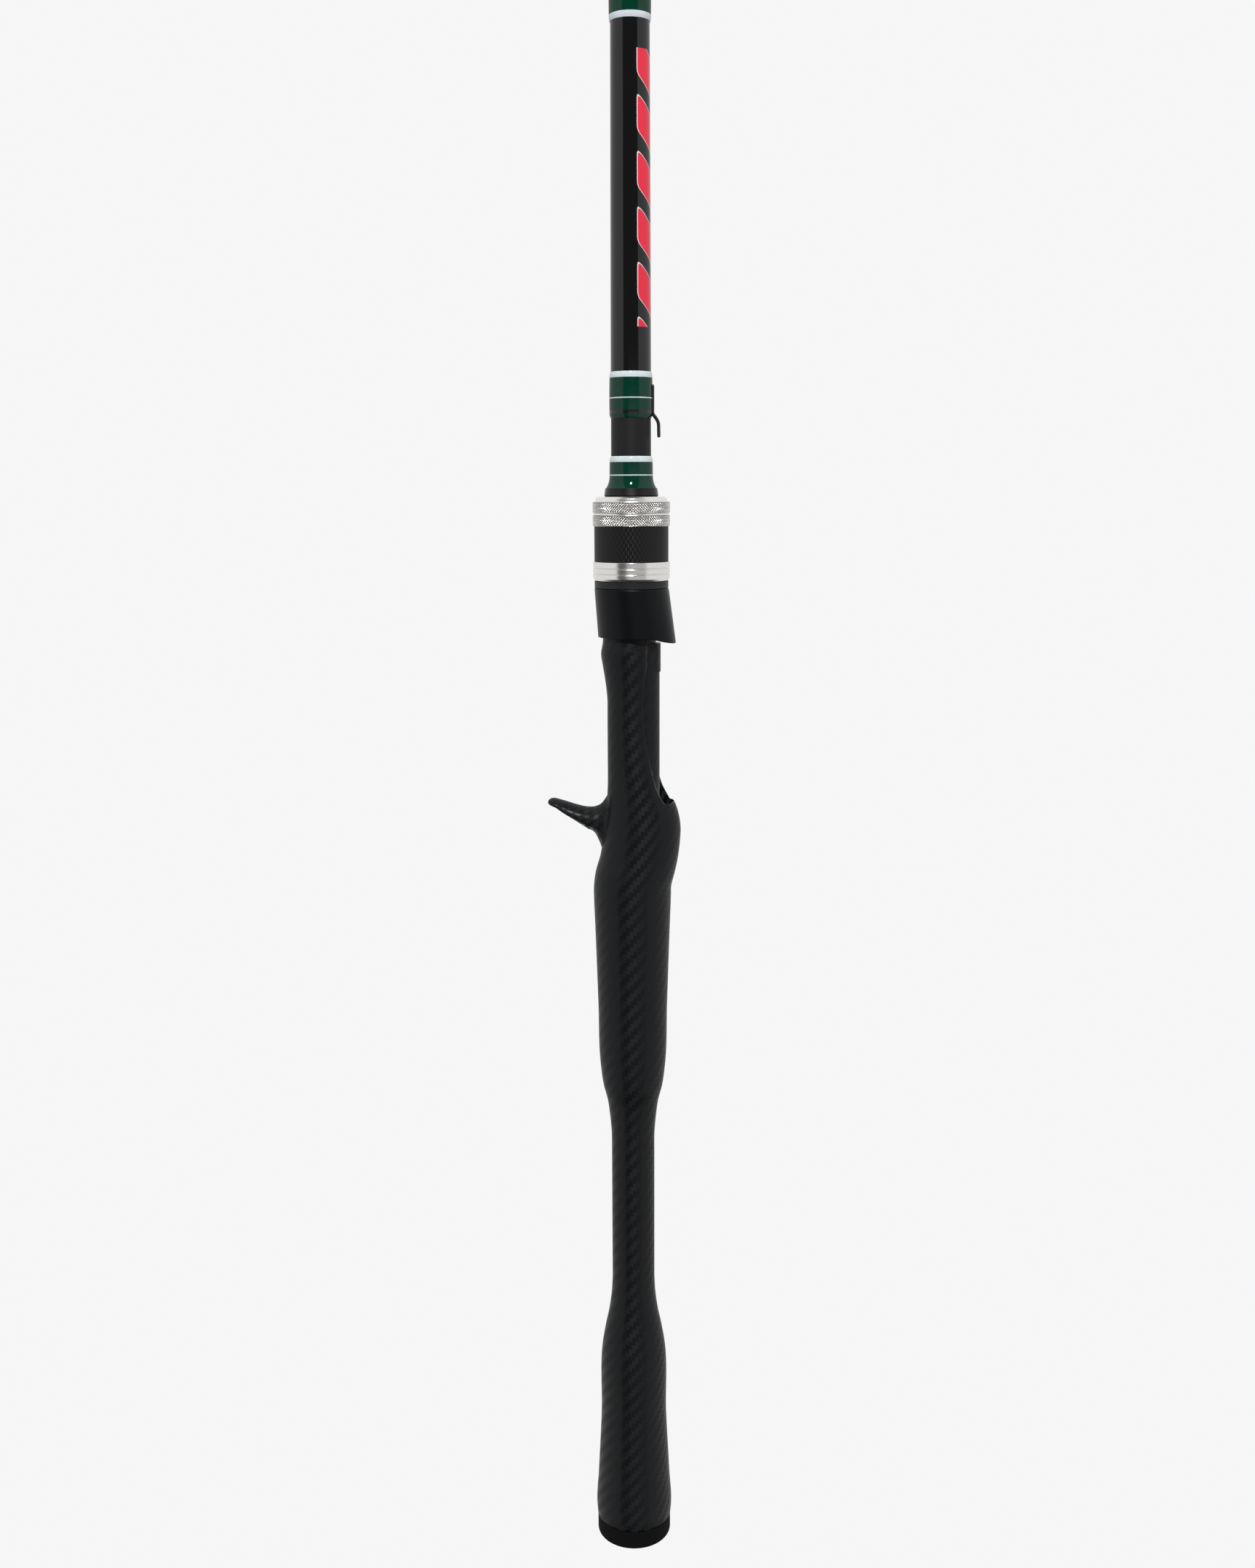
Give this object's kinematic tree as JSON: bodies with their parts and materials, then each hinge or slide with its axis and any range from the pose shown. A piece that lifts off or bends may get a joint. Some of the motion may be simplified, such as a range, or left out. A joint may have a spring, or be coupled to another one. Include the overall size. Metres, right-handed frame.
{
  "type": "baitcasting fishing rod",
  "caption": "Casting rod with a woven carbon trigger grip, screw-down reel seat, green thread wraps, hook keeper, line guides and tip-top.",
  "frame": {"origin": "centre of the butt cap's flat end face", "axes": "+Z along the rod from the butt to the tip; +X to the side of the reel and the guides; the trigger is on -X"},
  "size_m": [0.0484, 0.0278, 2.134],
  "materials": {
    "woven_carbon": "matte 2 by 2 twill carbon",
    "carbon_sleeve": "satin plain-weave carbon",
    "blank_carbon": "matte brown-black carbon",
    "black_rubber": "matte black rubber",
    "arbor_foam": "filled foam",
    "black_nylon": "satin black nylon",
    "satin_black": "satin black moulding",
    "aluminium": "satin aluminium",
    "core_metal": "plain turned metal",
    "spring_steel": "spring steel",
    "black_anodised": "black anodised",
    "keeper_black": "gloss black wire",
    "clear_coat": "gloss clear coat over black",
    "green_thread": "dark green thread under gloss epoxy",
    "pale_thread": "white thread under gloss epoxy",
    "guide_metal": "dark plated steel",
    "guide_ceramic": "polished dark ceramic"
  },
  "bodies": {
    "root": {"blank": "blank_carbon", "handle_shell": "woven_carbon", "butt_cap": "black_rubber", "arbor_rear": "arbor_foam", "seat_barrel": "black_nylon", "arbor_front": "arbor_foam", "winding_check": "black_anodised", "keeper_wire": "keeper_black", "seat_wrap_green": "green_thread", "seat_wrap_trim": "pale_thread", "keeper_wrap_green": "green_thread", "keeper_wrap_trim": "pale_thread", "label_coat": "clear_coat", "fore_wrap_green": "green_thread", "fore_wrap_trim": "pale_thread", "guide_frame_1": "guide_metal", "guide_frame_2": "guide_metal", "guide_frame_3": "guide_metal", "guide_frame_4": "guide_metal", "guide_frame_5": "guide_metal", "guide_frame_6": "guide_metal", "guide_frame_7": "guide_metal", "guide_frame_8": "guide_metal", "guide_ring_1": "guide_ceramic", "guide_ring_2": "guide_ceramic", "guide_ring_3": "guide_ceramic", "guide_ring_4": "guide_ceramic", "guide_ring_5": "guide_ceramic", "guide_ring_6": "guide_ceramic", "guide_ring_7": "guide_ceramic", "guide_ring_8": "guide_ceramic", "guide_wrap_1": "green_thread", "guide_wrap_2": "green_thread", "guide_wrap_3": "green_thread", "guide_wrap_4": "green_thread", "guide_wrap_5": "green_thread", "guide_wrap_6": "green_thread", "guide_wrap_7": "green_thread", "guide_wrap_8": "green_thread", "guide_trims": "pale_thread", "tip_frame": "guide_metal", "tip_ring": "guide_ceramic", "tip_wrap": "green_thread"},
    "hood": {"moving_hood": "satin_black", "hood_liner": "black_nylon", "slip_washer": "black_nylon", "snap_ring": "spring_steel"},
    "nut": {"nut_core": "core_metal", "nut_collar": "aluminium", "nut_sleeve": "carbon_sleeve", "knurled_nut": "aluminium", "nut_crown": "aluminium"}
  },
  "joints": [
    {"name": "hood_slide", "type": "slide", "parent": "root", "child": "hood", "axis": [0, 0, 1], "range_m": [-0.0091, 0]},
    {"name": "nut_turn", "type": "hinge", "parent": "hood", "child": "nut", "pos_m": [0, 0, 0.37165], "axis": [0, 0, 1], "range_deg": [-1620, 0]}
  ],
  "couplings": [
    {"joint": "hood_slide", "follows": "nut_turn", "m_per_rad": 0.00031831}
  ]
}
